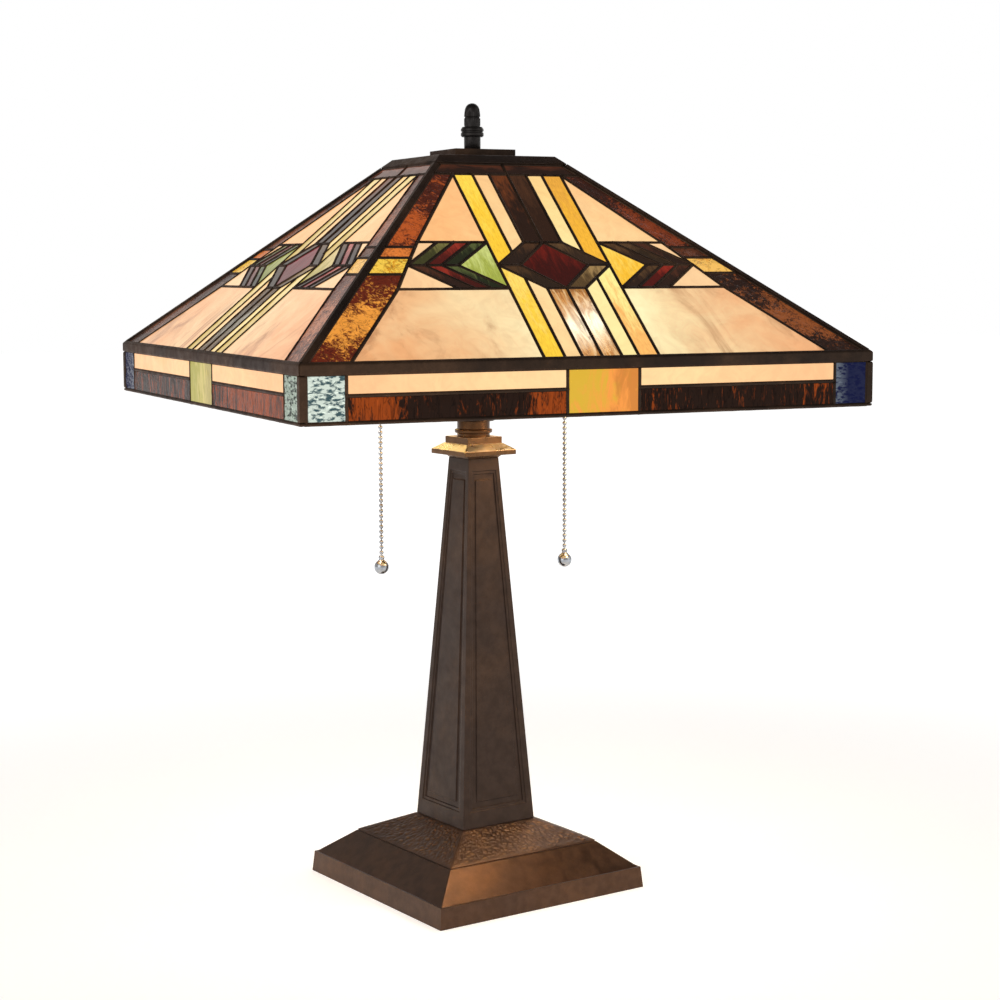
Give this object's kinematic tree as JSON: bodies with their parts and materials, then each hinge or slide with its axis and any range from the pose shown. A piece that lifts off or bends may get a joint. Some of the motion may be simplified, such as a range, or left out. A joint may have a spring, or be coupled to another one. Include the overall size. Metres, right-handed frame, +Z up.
{
  "type": "stained glass table lamp",
  "caption": "Table lamp with a square pyramid leaded art glass shade over a two light pull chain cluster, on a tapered square column and stepped square base.",
  "frame": {"origin": "centre of the base underside, on the table", "axes": "+Z up along the lamp axis; X and Y square to the sides of the base, with the cord inlet at +Y; the shade rests turned 9.9 degrees clockwise from above"},
  "size_m": [0.4702, 0.4702, 0.564],
  "materials": {
    "base_bronze": "dark oil-rubbed bronze, satin, hammered on the upper band",
    "felt": "dark green felt",
    "black_plastic": "moulded black plastic",
    "column_bronze": "dark oil-rubbed bronze, satin",
    "copper_bronze": "rubbed copper bronze, satin",
    "brass": "plain brass, slightly aged",
    "nickel": "nickel plate, bright",
    "insulator": "pressed fibre board",
    "lead": "lead came with dark bronze patina, satin",
    "glass_top_bands": "dark brown textured art glass",
    "glass_dark_strips": "dark brown streaky art glass",
    "glass_wispy_strips": "wispy clear and amber art glass",
    "glass_yellow_strips": "yellow opalescent art glass",
    "glass_cream_strips": "cream opalescent art glass",
    "glass_upper_panels": "peach beige opalescent art glass",
    "glass_lower_panels": "peach beige opalescent art glass with faint swirls",
    "glass_green_triangles": "light green opalescent art glass",
    "glass_yellow_triangles": "yellow opalescent art glass",
    "glass_green_chevrons": "dark green textured art glass",
    "glass_red_chevrons": "red textured art glass",
    "glass_brown_chevrons": "olive and brown textured art glass",
    "glass_tip_triangles": "peach beige opalescent art glass",
    "glass_red_diamonds": "deep red textured art glass",
    "glass_diamond_borders": "brown and tan art glass",
    "glass_hip_upper": "reddish brown rippled art glass",
    "glass_hip_squares": "amber art glass",
    "glass_hip_lower": "amber and red brown rippled art glass",
    "glass_skirt_beige": "peach beige opalescent art glass",
    "glass_skirt_brown": "dark brown and amber rippled art glass",
    "glass_skirt_squares": "amber, green and red swirled art glass",
    "glass_skirt_corners": "blue green hammered art glass",
    "bulb_glass": "frosted glass, lit warm white",
    "screw_base": "plain aluminium screw base"
  },
  "bodies": {
    "stand": {"base_casting": "base_bronze", "base_cover": "felt", "cord_bushing": "black_plastic", "column": "column_bronze", "column_collar": "copper_bronze", "neck_tube": "copper_bronze", "center_pipe": "brass", "pipe_nut": "brass", "pipe_washer": "nickel", "cluster_hub": "column_bronze", "socket_arms": "brass", "socket_caps": "brass", "socket_shells": "brass", "socket_insulators": "insulator", "screw_shells": "brass", "chain_bells": "brass", "riser_rod": "brass", "check_nut": "brass", "seat_washer": "brass"},
    "shade": {"crown_cap": "lead", "crown_boss": "lead", "crown_bars": "lead", "roof_came": "lead", "hip_bars": "lead", "rim_bars": "lead", "skirt_came": "lead", "corner_bars": "lead", "bottom_bars": "lead", "glass_top_bands": "glass_top_bands", "glass_dark_strips": "glass_dark_strips", "glass_wispy_strips": "glass_wispy_strips", "glass_yellow_strips": "glass_yellow_strips", "glass_cream_strips": "glass_cream_strips", "glass_upper_panels": "glass_upper_panels", "glass_lower_panels": "glass_lower_panels", "glass_green_triangles": "glass_green_triangles", "glass_yellow_triangles": "glass_yellow_triangles", "glass_green_chevrons": "glass_green_chevrons", "glass_red_chevrons": "glass_red_chevrons", "glass_brown_chevrons": "glass_brown_chevrons", "glass_tip_triangles": "glass_tip_triangles", "glass_red_diamonds": "glass_red_diamonds", "glass_diamond_borders": "glass_diamond_borders", "glass_hip_upper": "glass_hip_upper", "glass_hip_squares": "glass_hip_squares", "glass_hip_lower": "glass_hip_lower", "glass_skirt_beige": "glass_skirt_beige", "glass_skirt_brown": "glass_skirt_brown", "glass_skirt_squares": "glass_skirt_squares", "glass_skirt_corners": "glass_skirt_corners"},
    "finial_body": {"finial": "lead"},
    "pull_right": {"chain_right": "nickel", "ball_right": "nickel"},
    "pull_left": {"chain_left": "nickel", "ball_left": "nickel"},
    "bulb_right": {"bulb_glass_right": "bulb_glass", "bulb_base_right": "screw_base"},
    "bulb_left": {"bulb_glass_left": "bulb_glass", "bulb_base_left": "screw_base"}
  },
  "joints": [
    {"name": "shade_turn", "type": "hinge", "parent": "stand", "child": "shade", "pos_m": [0, 0, 0.5205], "axis": [0, 0, 1], "continuous": true},
    {"name": "finial_unscrew", "type": "hinge", "parent": "stand", "child": "finial_body", "pos_m": [0, 0, 0.531], "axis": [0, 0, 1], "range_deg": [0, 1080]},
    {"name": "pull_chain_right", "type": "slide", "parent": "stand", "child": "pull_right", "axis": [0, 0, -1], "range_m": [0, 0.012], "stiffness_N_per_m": 400},
    {"name": "pull_chain_left", "type": "slide", "parent": "stand", "child": "pull_left", "axis": [0, 0, -1], "range_m": [0, 0.012], "stiffness_N_per_m": 400},
    {"name": "bulb_right_unscrew", "type": "hinge", "parent": "stand", "child": "bulb_right", "pos_m": [0, 0, 0.345], "axis": [0.8138, -0.2962, 0.5], "range_deg": [0, 1080]},
    {"name": "bulb_left_unscrew", "type": "hinge", "parent": "stand", "child": "bulb_left", "pos_m": [0, 0, 0.345], "axis": [-0.8138, 0.2962, 0.5], "range_deg": [0, 1080]}
  ]
}
